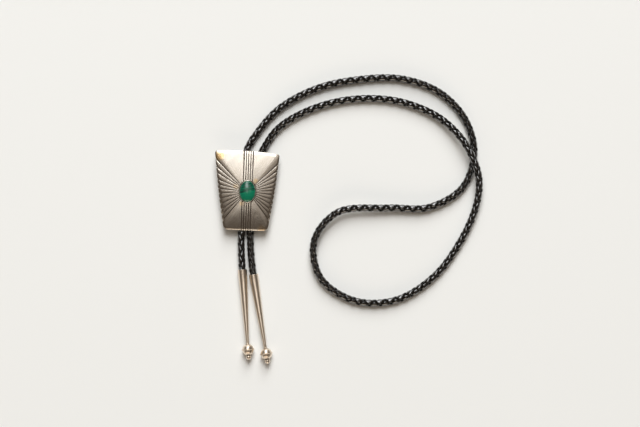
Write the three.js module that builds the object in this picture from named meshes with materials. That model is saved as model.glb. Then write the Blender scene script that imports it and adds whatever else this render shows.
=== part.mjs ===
// Bolo tie: a keystone silver slide with a green stone, on a black braided cord with two silver tips.
// Millimetres, +Z up. The tie lies on the surface z = 0. The origin is under the stone, on the flat
// underside of the slide's back clip; +Y runs to the slide's top edge and +X to its right.
import * as THREE from 'three';
import { mergeVertices } from 'three/addons/utils/BufferGeometryUtils.js';

// Clearances between pieces
const SEAT_GAP = 0.3;
const CORD_GAP = 0.3;

// Cord
const CORD_DIAMETER = 5.3;
const CORD_SIDES = 10;
const CORD_STEPS = 80;
const CORD_ABOVE_SURFACE = 0.1;

// Back clip: a bar with two round channels for the cord, flat underneath
const CLIP_LENGTH = 16;
const CLIP_FLOOR = 1.0;
const CLIP_SIDE_WALL = 1.0;
const CLIP_MIDDLE_WALL = 1.0;
const CLIP_TOP_WALL = 1.8;
const CLIP_TOP_ROUND = 2.6;
const CLIP_FOOT_ROUND = 1.2;

// Slide plate: outline seen from above, with the stone's centre at x = 0, y = 0
const PLATE_TOP_WIDTH = 46.8;
const PLATE_BOTTOM_WIDTH = 31.7;
const PLATE_TOP_Y = 28.35;
const PLATE_BOTTOM_Y = -27.5;
const PLATE_TOP_MIDDLE_X = -1.2;
const PLATE_BOTTOM_MIDDLE_X = -0.5;
const TOP_EDGE_TILT = 0.65;
const TOP_EDGE_CROWN = 1.05;
const BOTTOM_EDGE_CROWN = 0.3;
const SIDE_BULGE = 0.6;
const CORNER_RADIUS = 2.0;

// Slide plate: section of the domed sheet, whose edge is rolled down
const PLATE_THICKNESS = 1.1;
const DOME_DROP = 1.6;
const ROLL_WIDTH = 2.4;
const ROLL_DROP = 2.3;

// Fan of flutes on each side of the stone: the groove angles above the x axis, in degrees
const GROOVE_ANGLES = [-50.8, -43.3, -36, -26.4, -16.2, -5.7, 3.5, 11.9, 20.6, 29.9, 36.7, 43.9];
const FLUTE_DEPTH_AT_STONE = 0.22;
const FLUTE_DEPTH_AT_EDGE = 0.8;
const FLUTE_FULLNESS = 0.5;
const FLUTE_PARTS = 4;
const GROOVE_SHOULDER = 2.2;

// Straight engraved lines above and below the stone
const LINE_COUNT = 5;
const LINE_PITCH = 1.6;
const LINE_WIDTH = 0.6;
const LINE_DEPTH = 0.35;
const UPPER_LINES_X = 0;
const LOWER_LINES_X = -0.45;

// Bezel cup and its stone, both oval
const BEZEL_HALF_WIDTH = 6.15;
const BEZEL_HALF_HEIGHT = 8.1;
const BEZEL_WALL = 0.35;
const BEZEL_RISE = 2.0;
const STONE_SIDE = 1.4;
const STONE_DOME = 2.5;
const STONE_POINTS = 36;

// Tip: a long cone with an open socket, a ball with a rim round its middle, and an end bead
const TIP_MOUTH_RADIUS = 3.35;
const TIP_NECK_RADIUS = 1.05;
const TIP_WALL = 0.4;
const TIP_SOCKET_DEPTH = 40;
const TIP_SOCKET_END_RADIUS = 0.7;
const CORD_IN_TIP = 2.4;
const CORD_STRAIGHT_AT_TIP = 6;
const BALL_CENTRE_FROM_MOUTH = 57.6;
const BALL_RADIUS = 4.1;
const BALL_RIM_RADIUS = 4.6;
const BALL_RIM_HALF_HEIGHT = 0.5;
const END_BEAD_RADIUS = 1.85;
const END_BEAD_OVERLAP = 0.6;
const TIP_SIDES = 24;
const TIP_MOUTH_HEIGHT = 3.5;

// Where each tip lies: the middle of its mouth, and its turn from straight down, in degrees
const LEFT_MOUTH_X = -1.85;
const LEFT_MOUTH_Y = -56.1;
const LEFT_TIP_TURN = 6.2;
const RIGHT_MOUTH_X = 6.3;
const RIGHT_MOUTH_Y = -59.3;
const RIGHT_TIP_TURN = 11.3;

const silver = () => new THREE.MeshStandardMaterial({ color: 0xc9bfae, roughness: 0.28, metalness: 1.0 });
const green = () => new THREE.MeshStandardMaterial({ color: 0x0b6a4c, roughness: 0.15, metalness: 0.0 });
const black = () => new THREE.MeshStandardMaterial({ color: 0x15120f, roughness: 0.35, metalness: 0.0 });

const radians = THREE.MathUtils.degToRad;
const lerp = THREE.MathUtils.lerp;

// Sizes that follow from the ones above
const channelRadius = CORD_DIAMETER / 2 + CORD_GAP;
const channelX = channelRadius + CLIP_MIDDLE_WALL / 2;
const channelZ = CLIP_FLOOR + channelRadius;
const clipHalfWidth = channelX + channelRadius + CLIP_SIDE_WALL;
const clipHeight = channelZ + channelRadius + CLIP_TOP_WALL;
const plateFaceZ = clipHeight + SEAT_GAP + PLATE_THICKNESS;
const cordLie = CORD_DIAMETER / 2 + CORD_ABOVE_SURFACE;
const leftTip = tipPlace('tip_left', LEFT_MOUTH_X, LEFT_MOUTH_Y, LEFT_TIP_TURN);
const rightTip = tipPlace('tip_right', RIGHT_MOUTH_X, RIGHT_MOUTH_Y, RIGHT_TIP_TURN);

// Makes a named mesh of a geometry: positions only, shared corners merged, empty triangles dropped.
function piece(name, geometry, material) {
  geometry.deleteAttribute('normal');
  geometry.deleteAttribute('uv');
  const merged = mergeVertices(geometry, 1e-5);
  const corners = merged.index.array;
  const kept = [];
  for (let i = 0; i < corners.length; i += 3) {
    const [a, b, c] = [corners[i], corners[i + 1], corners[i + 2]];
    if (a !== b && b !== c && c !== a) kept.push(a, b, c);
  }
  merged.setIndex(kept);
  merged.computeVertexNormals();
  const mesh = new THREE.Mesh(merged, material);
  mesh.name = name;
  return mesh;
}

// A closed body from rings of equal length: the first and last rings are closed by a fan to a centre
// point. The rings turn anticlockwise seen from above and run from the top, outwards, to the underside.
function skin(firstCentre, rings, lastCentre) {
  const count = rings[0].length;
  const points = [firstCentre, ...rings.flat(), lastCentre];
  const at = (ring, station) => 1 + ring * count + (station % count);
  const index = [];
  for (let i = 0; i < count; i += 1) {
    index.push(0, at(0, i), at(0, i + 1));
    for (let ring = 0; ring + 1 < rings.length; ring += 1) {
      index.push(at(ring, i), at(ring + 1, i), at(ring + 1, i + 1));
      index.push(at(ring, i), at(ring + 1, i + 1), at(ring, i + 1));
    }
    index.push(points.length - 1, at(rings.length - 1, i + 1), at(rings.length - 1, i));
  }
  const geometry = new THREE.BufferGeometry().setFromPoints(points);
  geometry.setIndex(index);
  return geometry;
}

// The point of an oval seen at an angle from its centre.
function ovalPoint(halfWidth, halfHeight, angle) {
  const reach = 1 / Math.hypot(Math.cos(angle) / halfWidth, Math.sin(angle) / halfHeight);
  return new THREE.Vector2(reach * Math.cos(angle), reach * Math.sin(angle));
}

// The plate's outline: four corners, straight sides that bulge a little, crowned top and bottom edges.
// The top edge drops a little from left to right, as on the hand-made original.
const plateCorner = (side, upper) => (upper
  ? new THREE.Vector2(PLATE_TOP_MIDDLE_X + side * PLATE_TOP_WIDTH / 2, PLATE_TOP_Y - side * TOP_EDGE_TILT)
  : new THREE.Vector2(PLATE_BOTTOM_MIDDLE_X + side * PLATE_BOTTOM_WIDTH / 2, PLATE_BOTTOM_Y));

// The point of a side edge that is seen at an angle from the stone's centre.
function sidePoint(side, angle) {
  const top = plateCorner(side, true);
  const run = plateCorner(side, false).sub(top);
  const ray = new THREE.Vector2(Math.cos(angle), Math.sin(angle));
  const share = -ray.cross(top) / ray.cross(run);
  const reach = top.clone().addScaledVector(run, share).dot(ray);
  return ray.multiplyScalar(reach + SIDE_BULGE * 4 * share * (1 - share));
}

// The point of the top or bottom edge at a place across the plate.
function endPoint(x, upper) {
  if (upper) {
    const across = (x - PLATE_TOP_MIDDLE_X) / (PLATE_TOP_WIDTH / 2);
    const crown = TOP_EDGE_CROWN * (1 - across * across);
    return new THREE.Vector2(x, PLATE_TOP_Y - TOP_EDGE_TILT * across + crown);
  }
  const across = (x - PLATE_BOTTOM_MIDDLE_X) / (PLATE_BOTTOM_WIDTH / 2);
  return new THREE.Vector2(x, PLATE_BOTTOM_Y - BOTTOM_EDGE_CROWN * (1 - across * across));
}

// Points of a rounded corner, from the edge that leaves along one direction to the other.
function cornerPoints(side, upper, fromSideEdge) {
  const corner = plateCorner(side, upper);
  const alongSide = plateCorner(side, !upper).sub(corner).normalize();
  const alongEnd = endPoint(corner.x - side, upper).sub(corner).normalize();
  const halfAngle = Math.acos(alongSide.dot(alongEnd)) / 2;
  const middle = alongSide.clone().add(alongEnd).normalize();
  const centre = corner.clone().addScaledVector(middle, CORNER_RADIUS / Math.sin(halfAngle));
  const cut = CORNER_RADIUS / Math.tan(halfAngle);
  const first = corner.clone().addScaledVector(fromSideEdge ? alongSide : alongEnd, cut).sub(centre);
  const last = corner.clone().addScaledVector(fromSideEdge ? alongEnd : alongSide, cut).sub(centre);
  return [0, 1 / 3, 2 / 3, 1].map((share) => {
    const spoke = first.clone().lerp(last, share).setLength(CORNER_RADIUS);
    return spoke.add(centre);
  });
}

// A station is one line from the bezel to the plate's edge. Its flute and line values say how far it
// lies down in a flute's groove or an engraved line: 0 on the surface, 1 at the bottom.
const station = (inner, outer, flute = 0, line = 0) => ({ inner, outer, flute, line });

// Stations of one fan, from its lowest groove to its highest on the right, the other way on the left.
function fanStations(side) {
  const stations = [];
  const add = (degrees, flute) => {
    const angle = side > 0 ? radians(degrees) : Math.PI - radians(degrees);
    const inner = ovalPoint(BEZEL_HALF_WIDTH, BEZEL_HALF_HEIGHT, angle);
    stations.push(station(inner, sidePoint(side, angle), flute));
  };
  for (let i = 0; i + 1 < GROOVE_ANGLES.length; i += 1) {
    for (let part = 0; part < FLUTE_PARTS; part += 1) {
      const share = part / FLUTE_PARTS;
      const ridge = Math.sin(Math.PI * share) ** FLUTE_FULLNESS;
      add(lerp(GROOVE_ANGLES[i], GROOVE_ANGLES[i + 1], share), 1 - ridge);
    }
  }
  add(GROOVE_ANGLES.at(-1), 1);
  return side > 0 ? stations : stations.reverse();
}

// Stations of the engraved lines above or below the stone, in anticlockwise order.
function lineStations(upper) {
  const middle = upper ? UPPER_LINES_X : LOWER_LINES_X;
  const stations = [];
  for (let i = 0; i < LINE_COUNT; i += 1) {
    const x = middle + (i - (LINE_COUNT - 1) / 2) * LINE_PITCH;
    for (const part of [-1, 0, 1]) {
      const placeX = x + part * LINE_WIDTH / 2;
      const rise = BEZEL_HALF_HEIGHT * Math.sqrt(1 - (placeX / BEZEL_HALF_WIDTH) ** 2);
      const inner = new THREE.Vector2(placeX, upper ? rise : -rise);
      stations.push(station(inner, endPoint(placeX, upper), 0, part === 0 ? 1 : 0));
    }
  }
  return upper ? stations.reverse() : stations;
}

// Stations of a plain field between a fan and the engraved lines, from the fan round the corner.
function plainStations(side, upper, fanEnd, lineEnd) {
  const grooveAngle = GROOVE_ANGLES.at(upper ? -1 : 0) + (upper ? GROOVE_SHOULDER : -GROOVE_SHOULDER);
  const angle = side > 0 ? radians(grooveAngle) : Math.PI - radians(grooveAngle);
  const corner = cornerPoints(side, upper, true);
  const ends = [0.3, 0.7].map((share) => endPoint(lerp(corner.at(-1).x, lineEnd.outer.x, share), upper));
  const outers = [sidePoint(side, angle), ...corner, ...ends];
  const from = Math.atan2(fanEnd.inner.y, fanEnd.inner.x);
  let to = Math.atan2(lineEnd.inner.y, lineEnd.inner.x);
  if (Math.abs(to - from) > Math.PI) to += Math.sign(from) * 2 * Math.PI;
  const stations = outers.map((outer, i) => {
    const share = (i + 1) / (outers.length + 1);
    return station(ovalPoint(BEZEL_HALF_WIDTH, BEZEL_HALF_HEIGHT, lerp(from, to, share)), outer);
  });
  return (side > 0) === upper ? stations : stations.reverse();
}

// All stations, anticlockwise from the lowest groove on the right.
function plateStations() {
  const right = fanStations(1);
  const left = fanStations(-1);
  const above = lineStations(true);
  const below = lineStations(false);
  return [
    ...right,
    ...plainStations(1, true, right.at(-1), above[0]),
    ...above,
    ...plainStations(-1, true, left[0], above.at(-1)),
    ...left,
    ...plainStations(-1, false, left.at(-1), below[0]),
    ...below,
    ...plainStations(1, false, right[0], below.at(-1)),
  ];
}

// The plate's section along a station of some reach: the dome, then the edge rolled down through a
// quarter turn. Each row says how far out the surface is, how far it has dropped and how it leans.
function sectionRows(reach) {
  const domeEnd = reach - ROLL_WIDTH;
  const row = (out, turn) => {
    const slope = 2 * DOME_DROP * out / reach ** 2;
    const drop = DOME_DROP * (out / reach) ** 2 + ROLL_DROP * (1 - Math.cos(turn));
    const down = slope * ROLL_WIDTH * Math.cos(turn) + ROLL_DROP * Math.sin(turn);
    return { out, drop, lean: Math.atan2(down, ROLL_WIDTH * Math.cos(turn)), share: out / reach };
  };
  return [
    ...[0, 0.35, 0.7].map((share) => row(share * domeEnd, 0)),
    ...[0, 30, 52, 72, 90].map((turn) => row(domeEnd + ROLL_WIDTH * Math.sin(radians(turn)), radians(turn))),
  ];
}

// One ring of the plate's face, or of its back when a depth of one thickness is given.
function plateRing(stations, rowNumber, depth) {
  return stations.map(({ inner, outer, flute, line }) => {
    const way = outer.clone().sub(inner);
    const { out, drop, lean, share } = sectionRows(way.length())[rowNumber];
    const fluteDepth = flute * lerp(FLUTE_DEPTH_AT_STONE, FLUTE_DEPTH_AT_EDGE, share);
    const sunk = depth + fluteDepth + (depth > 0 ? 0 : line * LINE_DEPTH);
    const place = inner.clone().addScaledVector(way.normalize(), out - sunk * Math.sin(lean));
    return new THREE.Vector3(place.x, place.y, plateFaceZ - drop - sunk * Math.cos(lean));
  });
}

// A ring of the bezel cup at a height above the plate's face, in from its outer face by some wall.
function bezelRing(stations, wall, rise) {
  const across = (BEZEL_HALF_WIDTH - wall) / BEZEL_HALF_WIDTH;
  const along = (BEZEL_HALF_HEIGHT - wall) / BEZEL_HALF_HEIGHT;
  return stations.map(({ inner }) => (
    new THREE.Vector3(inner.x * across, inner.y * along, plateFaceZ + rise)
  ));
}

// The slide: domed and fluted plate with its bezel cup, soldered into one.
function slidePlate() {
  const stations = plateStations();
  const rows = sectionRows(PLATE_TOP_WIDTH).map((row, number) => number);
  const face = rows.map((number) => plateRing(stations, number, 0));
  const back = rows.map((number) => plateRing(stations, number, PLATE_THICKNESS)).reverse();
  const cup = [[BEZEL_WALL, 0], [BEZEL_WALL, BEZEL_RISE], [0, BEZEL_RISE]];
  const rings = [...cup.map(([wall, rise]) => bezelRing(stations, wall, rise)), ...face, ...back];
  const cupFloor = new THREE.Vector3(0, 0, plateFaceZ);
  const backMiddle = new THREE.Vector3(0, 0, plateFaceZ - PLATE_THICKNESS);
  return piece('slide_plate', skin(cupFloor, rings, backMiddle), silver());
}

// The stone: an oval cabochon whose straight side stands in the cup, clear of its wall and floor.
function stone() {
  const halfWidth = BEZEL_HALF_WIDTH - BEZEL_WALL - SEAT_GAP;
  const halfHeight = BEZEL_HALF_HEIGHT - BEZEL_WALL - SEAT_GAP;
  const base = plateFaceZ + SEAT_GAP;
  const ring = (size, z) => Array.from({ length: STONE_POINTS }, (_, i) => {
    const angle = 2 * Math.PI * i / STONE_POINTS;
    return new THREE.Vector3(size * halfWidth * Math.cos(angle), size * halfHeight * Math.sin(angle), z);
  });
  const dome = [15, 32, 48, 63, 77].map((turn) => (
    ring(Math.sin(radians(turn)), base + STONE_SIDE + STONE_DOME * Math.cos(radians(turn)))
  ));
  const rings = [...dome, ring(1, base + STONE_SIDE), ring(1, base)];
  const top = new THREE.Vector3(0, 0, base + STONE_SIDE + STONE_DOME);
  return piece('stone', skin(top, rings, new THREE.Vector3(0, 0, base)), green());
}

// The back clip: its section lies across the cord and is extruded along it.
function backClip() {
  const section = new THREE.Shape();
  section.moveTo(-clipHalfWidth + CLIP_FOOT_ROUND, 0);
  section.lineTo(clipHalfWidth - CLIP_FOOT_ROUND, 0);
  section.absarc(clipHalfWidth - CLIP_FOOT_ROUND, CLIP_FOOT_ROUND, CLIP_FOOT_ROUND, -Math.PI / 2, 0);
  section.absarc(clipHalfWidth - CLIP_TOP_ROUND, clipHeight - CLIP_TOP_ROUND, CLIP_TOP_ROUND, 0, Math.PI / 2);
  section.absarc(CLIP_TOP_ROUND - clipHalfWidth, clipHeight - CLIP_TOP_ROUND, CLIP_TOP_ROUND, Math.PI / 2, Math.PI);
  section.absarc(CLIP_FOOT_ROUND - clipHalfWidth, CLIP_FOOT_ROUND, CLIP_FOOT_ROUND, Math.PI, 1.5 * Math.PI);
  for (const side of [-1, 1]) {
    section.holes.push(new THREE.Path().absarc(side * channelX, channelZ, channelRadius, 0, 2 * Math.PI, true));
  }
  const geometry = new THREE.ExtrudeGeometry(section, { depth: CLIP_LENGTH, bevelEnabled: false, curveSegments: 12 });
  geometry.translate(0, 0, -CLIP_LENGTH / 2);
  geometry.rotateX(Math.PI / 2);
  return piece('back_clip', geometry, silver());
}

// The place of a tip's mouth and the way that the tip points, down towards its ball.
function tipPlace(name, mouthX, mouthY, turn) {
  const mouth = new THREE.Vector3(mouthX, mouthY, TIP_MOUTH_HEIGHT);
  const rise = (BALL_RIM_RADIUS - TIP_MOUTH_HEIGHT) / BALL_CENTRE_FROM_MOUTH;
  const way = new THREE.Vector3(Math.sin(radians(turn)), -Math.cos(radians(turn)), rise).normalize();
  return { name, mouth, way };
}

// A tip turned on a lathe: out round the bead, the ball and its rim, up the cone, into its socket.
function tip({ name, mouth, way }) {
  const arc = (centre, radius, from, to, parts) => Array.from({ length: parts + 1 }, (_, i) => {
    const angle = lerp(from, to, i / parts);
    return new THREE.Vector2(radius * Math.sin(angle), centre + radius * Math.cos(angle));
  });
  const ball = BALL_CENTRE_FROM_MOUTH;
  const rimTurn = Math.asin(BALL_RIM_HALF_HEIGHT / BALL_RADIUS);
  const neckTurn = Math.PI - Math.asin(TIP_NECK_RADIUS / BALL_RADIUS);
  const beadCentre = ball + BALL_RADIUS + END_BEAD_RADIUS - END_BEAD_OVERLAP;
  const meet = (beadCentre - ball + (BALL_RADIUS ** 2 - END_BEAD_RADIUS ** 2) / (beadCentre - ball)) / 2;
  const waist = Math.sqrt(BALL_RADIUS ** 2 - meet ** 2);
  const beadTurn = Math.atan2(waist, ball + meet - beadCentre);
  const waistTurn = Math.atan2(waist, meet);
  const profile = [
    ...arc(beadCentre, END_BEAD_RADIUS, 0, beadTurn, 4),
    ...arc(ball, BALL_RADIUS, waistTurn, Math.PI / 2 - rimTurn, 4).slice(1),
    new THREE.Vector2(BALL_RIM_RADIUS, ball + BALL_RIM_HALF_HEIGHT / 2),
    new THREE.Vector2(BALL_RIM_RADIUS, ball - BALL_RIM_HALF_HEIGHT / 2),
    ...arc(ball, BALL_RADIUS, Math.PI / 2 + rimTurn, neckTurn, 4),
    new THREE.Vector2(TIP_MOUTH_RADIUS, 0),
    new THREE.Vector2(TIP_MOUTH_RADIUS - TIP_WALL, 0),
    new THREE.Vector2(TIP_MOUTH_RADIUS - TIP_WALL, CORD_IN_TIP),
    new THREE.Vector2(TIP_SOCKET_END_RADIUS, TIP_SOCKET_DEPTH),
    new THREE.Vector2(0, TIP_SOCKET_DEPTH),
  ];
  profile[0].x = 0;
  const mesh = piece(name, new THREE.LatheGeometry(profile.reverse(), TIP_SIDES), silver());
  mesh.quaternion.setFromUnitVectors(new THREE.Vector3(0, 1, 0), way);
  mesh.position.copy(mouth);
  return mesh;
}

// The end of the cord in a tip: straight on the tip's axis, from inside its socket to outside.
function cordEnd({ mouth, way }) {
  return [CORD_IN_TIP, -CORD_STRAIGHT_AT_TIP].map((along) => mouth.clone().addScaledVector(way, along));
}

// The cord's route, from the left tip up through the clip, round the neck loop and back to the
// right tip. The bow beside the slide springs off the surface a little, and the return pass rises
// in a low hump and lies over the first one at the crossing.
const CORD_ROUTE = [
  ...cordEnd(leftTip),
  [-3.5, -36, 2.8],
  [-channelX, -9, channelZ],
  [-channelX, 9, channelZ],
  [-2, 29, cordLie],
  [5.5, 43, cordLie],
  [21, 61, cordLie],
  [47, 76, cordLie],
  [77, 83.5, cordLie],
  [108, 85, cordLie],
  [135.5, 76, cordLie],
  [154.5, 57, cordLie],
  [161.5, 33, cordLie],
  [154, 8.5, cordLie],
  [130.5, -6.5, 3.2],
  [101, -8, 4.2],
  [65, -12.5, 6.2],
  [49, -33.5, 6.2],
  [54.5, -60, 4],
  [79.5, -75.5, cordLie],
  [109, -74, cordLie],
  [135.5, -56.5, cordLie],
  [153.5, -31, 2.9],
  [164, -5, 4.8],
  [165.5, 14, 7.6],
  [160.5, 29.5, 8.7],
  [151, 44.5, 6.9],
  [134, 59, 3.8],
  [105, 69, 2.8],
  [72, 69, cordLie],
  [41.5, 60, cordLie],
  [20, 46, cordLie],
  [9, 29, cordLie],
  [channelX + 0.3, 16, 3.5],
  [channelX, 8, channelZ],
  [channelX, -9, channelZ],
  [3, -33, 2.8],
  ...cordEnd(rightTip).reverse(),
].map((point) => (point.isVector3 ? point : new THREE.Vector3(...point)));

function cord() {
  const path = new THREE.CatmullRomCurve3(CORD_ROUTE, false, 'centripetal');
  path.arcLengthDivisions = 20 * CORD_STEPS;
  const section = new THREE.Shape(Array.from({ length: CORD_SIDES }, (_, i) => {
    const angle = 2 * Math.PI * i / CORD_SIDES;
    return new THREE.Vector2(Math.cos(angle), Math.sin(angle)).multiplyScalar(CORD_DIAMETER / 2);
  }));
  const geometry = new THREE.ExtrudeGeometry(section, { steps: CORD_STEPS, extrudePath: path });
  return piece('cord', geometry, black());
}

const boloTie = new THREE.Group();
boloTie.add(slidePlate(), stone(), backClip(), cord(), tip(leftTip), tip(rightTip));

export default boloTie;
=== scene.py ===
"""Bolo tie: a keystone silver slide with a green stone, on a braided black cord with two silver tips.

Metres, +Z up. The tie lies on the surface z = 0, the slide's stone stands over the origin and +Y runs
to the slide's wider top edge. Every piece but the clip is worked out as whole arrays of points; the clip
is the imported bar with its edges eased. All are dressed here.
"""
import logging
import math
from dataclasses import dataclass, field
from enum import Enum
from typing import Callable, Dict, List, Optional, Sequence, Tuple, Union

import bpy
import numpy as np
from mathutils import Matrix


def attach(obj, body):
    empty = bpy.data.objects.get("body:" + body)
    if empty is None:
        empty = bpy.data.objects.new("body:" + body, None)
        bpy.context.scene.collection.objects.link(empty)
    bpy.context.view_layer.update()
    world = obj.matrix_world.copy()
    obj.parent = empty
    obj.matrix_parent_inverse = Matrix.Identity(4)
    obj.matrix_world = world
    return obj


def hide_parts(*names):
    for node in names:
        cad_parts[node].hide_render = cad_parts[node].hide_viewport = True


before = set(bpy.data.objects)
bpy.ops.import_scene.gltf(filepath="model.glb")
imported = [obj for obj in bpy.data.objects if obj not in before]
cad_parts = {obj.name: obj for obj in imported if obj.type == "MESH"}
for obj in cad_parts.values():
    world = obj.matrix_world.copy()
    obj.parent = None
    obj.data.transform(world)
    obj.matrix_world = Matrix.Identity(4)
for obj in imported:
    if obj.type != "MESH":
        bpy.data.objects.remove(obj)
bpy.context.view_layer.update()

BODY = "root"
MM = 0.001
TURN = 2 * math.pi

Colour = Tuple[float, float, float]
Number = Union[float, "Socket"]
FAR = 1.0
log = logging.getLogger("bolo_tie")


class Side(Enum):
    """Which side of the stone a stretch of the plate lies on."""

    LEFT = -1
    RIGHT = 1


class End(Enum):
    """Which end of the plate a stretch of it lies at."""

    LOWER = -1
    UPPER = 1


class Lay(Enum):
    """Which way a strand of the braid winds round the cord."""

    LEFT_HAND = -1
    RIGHT_HAND = 1


def _operator(operation: str, swapped: bool = False) -> Callable[["Socket", Number], "Socket"]:
    """Makes one sign of arithmetic for a material's values.

    Args:
        operation: the Math node's operation.
        swapped: puts the other value first, for a number on the left.

    Returns:
        The method for the sign.
    """
    def method(self: "Socket", other: Number) -> "Socket":
        """Returns the Math node's result."""
        first, second = (other, self) if swapped else (self, other)
        return self._math(operation, first, second)

    return method


class Socket:
    """One value in a material's nodes. Arithmetic with it adds Math nodes."""

    def __init__(self, paint: "Paint", output: bpy.types.NodeSocket) -> None:
        """Keeps the material and the output socket that the value comes from."""
        self.paint = paint
        self.output = output

    def _math(self, operation: str, *values: Number) -> "Socket":
        """Returns one Math node's result."""
        return self.paint.node("ShaderNodeMath", {"operation": operation}, dict(enumerate(values)))

    __add__ = _operator("ADD")
    __radd__ = _operator("ADD", swapped=True)
    __sub__ = _operator("SUBTRACT")
    __mul__ = _operator("MULTIPLY")
    __rmul__ = _operator("MULTIPLY", swapped=True)
    __truediv__ = _operator("DIVIDE")

    def fade(self, low: float, high: float) -> "Socket":
        """Smooth rise from 0 at one value to 1 at another, or a fall where they are swapped.

        Args:
            low: the value where the result is 0.
            high: the value where the result is 1.

        Returns:
            The eased value, held between 0 and 1.
        """
        settings = {"interpolation_type": "SMOOTHSTEP", "clamp": True}
        ends = (low, high, 0.0, 1.0) if low < high else (high, low, 1.0, 0.0)
        return self.paint.node("ShaderNodeMapRange", settings, dict(enumerate((self, *ends))))


class Paint:
    """A material under construction, with its nodes and its surface shader."""

    def __init__(self, name: str) -> None:
        """Starts a material with only a surface shader."""
        self.material = bpy.data.materials.new(name)
        self.material.use_nodes = True
        self.tree = self.material.node_tree
        self.shader = self.tree.nodes["Principled BSDF"]
        self.position: Optional[Socket] = None

    def node(
        self,
        kind: str,
        settings: Optional[Dict[str, object]] = None,
        inputs: Optional[Dict[Union[int, str], object]] = None,
        output: Union[int, str] = 0,
    ) -> Socket:
        """Adds a node.

        Args:
            kind: the node's type.
            settings: its properties.
            inputs: values or links of its sockets, by number or name.
            output: the socket to return.

        Returns:
            The chosen output.
        """
        made = self.tree.nodes.new(kind)
        for name, value in (settings or {}).items():
            setattr(made, name, value)
        for name, value in (inputs or {}).items():
            if isinstance(value, Socket):
                self.tree.links.new(value.output, made.inputs[name])
            else:
                made.inputs[name].default_value = value
        return Socket(self, made.outputs[output])

    def place(self) -> Socket:
        """Returns the piece's own coordinates, in metres."""
        if self.position is None:
            self.position = self.node("ShaderNodeTexCoord", output="Object")
        return self.position

    def axis(self, name: str) -> Socket:
        """Returns one coordinate of the place, by its letter."""
        return self.node("ShaderNodeSeparateXYZ", inputs={0: self.place()}, output=name)

    def attribute(self, name: str) -> Socket:
        """Returns a value that the mesh carries at each point."""
        return self.node("ShaderNodeAttribute", {"attribute_name": name}, output="Fac")

    def stretched(self, scale: Tuple[float, float, float], turn: float = 0.0) -> Socket:
        """Stretches and turns the place, so that a pattern on it has a grain.

        Args:
            scale: how many features to the metre along each axis.
            turn: the turn about Z in degrees.

        Returns:
            The changed place.
        """
        rotation = (0.0, 0.0, math.radians(turn))
        return self.node("ShaderNodeMapping", {"vector_type": "TEXTURE"}, {
            "Vector": self.place(), "Rotation": rotation, "Scale": tuple(1 / part for part in scale),
        })

    def noise(self, scale: float, detail: float = 2.0, vector: Optional[Socket] = None) -> Socket:
        """Adds cloudy noise.

        Args:
            scale: features to the metre.
            detail: how many finer layers it has.
            vector: the place to read it at, else the piece's own.

        Returns:
            A value round 0.5.
        """
        inputs = {"Vector": vector or self.place(), "Scale": scale, "Detail": detail}
        return self.node("ShaderNodeTexNoise", inputs=inputs, output="Fac")

    def spot(self, centre: Tuple[float, float], radius: float) -> Socket:
        """Makes a soft round patch, seen from above.

        Args:
            centre: its middle.
            radius: how far it reaches.

        Returns:
            1 at its middle, 0 at its radius.
        """
        across = (self.axis("X") - centre[0]) / radius
        along = (self.axis("Y") - centre[1]) / radius
        return (across * across + along * along).fade(1.0, 0.0)

    def mix(self, share: Number, first: Union[Colour, Socket], second: Union[Colour, Socket]) -> Socket:
        """Returns a colour between two.

        Args:
            share: 0 for the first colour, 1 for the second.
            first: a colour or a link.
            second: a colour or a link.

        Returns:
            The mixed colour.
        """
        ends = [end if isinstance(end, Socket) else (*end, 1.0) for end in (first, second)]
        return self.node("ShaderNodeMix", {"data_type": "RGBA"}, {0: share, 6: ends[0], 7: ends[1]}, 2)

    def bump(self, height: Socket, distance: float, under: Optional[Socket] = None) -> Socket:
        """Roughens the surface by a height map.

        Args:
            height: the map.
            distance: its depth in metres.
            under: a normal that it lies on.

        Returns:
            The new normal.
        """
        inputs: Dict[Union[int, str], object] = {"Height": height, "Distance": distance}
        if under is not None:
            inputs["Normal"] = under
        return self.node("ShaderNodeBump", inputs=inputs, output="Normal")

    def dress(self, **sockets: object) -> bpy.types.Material:
        """Sets or links the surface shader's sockets, named with underscores for spaces.

        Args:
            sockets: a value, a colour or a link for each socket.

        Returns:
            The material.
        """
        for key, value in sockets.items():
            socket = self.shader.inputs[key.replace("_", " ")]
            if isinstance(value, Socket):
                self.tree.links.new(value.output, socket)
            elif isinstance(value, tuple) and len(value) == 3:
                socket.default_value = (*value, 1.0)
            else:
                socket.default_value = value
        return self.material


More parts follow.
